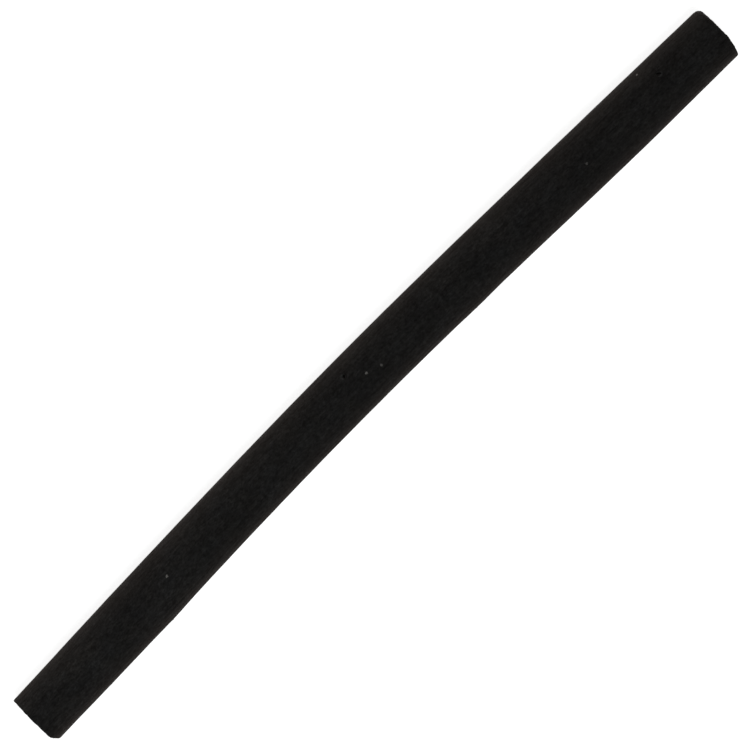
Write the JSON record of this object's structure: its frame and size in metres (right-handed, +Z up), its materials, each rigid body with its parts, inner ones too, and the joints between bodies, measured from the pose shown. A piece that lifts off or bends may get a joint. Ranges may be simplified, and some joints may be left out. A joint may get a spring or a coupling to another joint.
{
  "type": "charcoal stick",
  "caption": "Natural artist's charcoal stick: a straight-cut, slightly bowed charred twig with its pith, growth rings and pin knots, lying on its side for drawing and sketching.",
  "frame": {"origin": "on the surface the stick lies on, at the middle of the stick's bounding box", "axes": "+X along the stick from its butt to its drawing end, +Z up from the surface, and the bow stands towards +Y"},
  "size_m": [0.15, 0.011, 0.0096],
  "materials": {
    "charred_skin": "matt black charred willow skin with a faint satin bloom and fine grain along its length",
    "charred_wood": "matt black end grain with fine open pores",
    "charred_pith": "soft dull grey-black spongy core",
    "charred_knot": "dense black char with a slight gloss"
  },
  "bodies": {
    "root": {"pith": "charred_pith", "first_season_wood": "charred_wood", "second_season_wood": "charred_skin", "pin_knot_1": "charred_knot", "pin_knot_2": "charred_knot", "pin_knot_3": "charred_knot", "pin_knot_4": "charred_knot", "pin_knot_5": "charred_knot", "pin_knot_6": "charred_knot"}
  },
  "joints": []
}
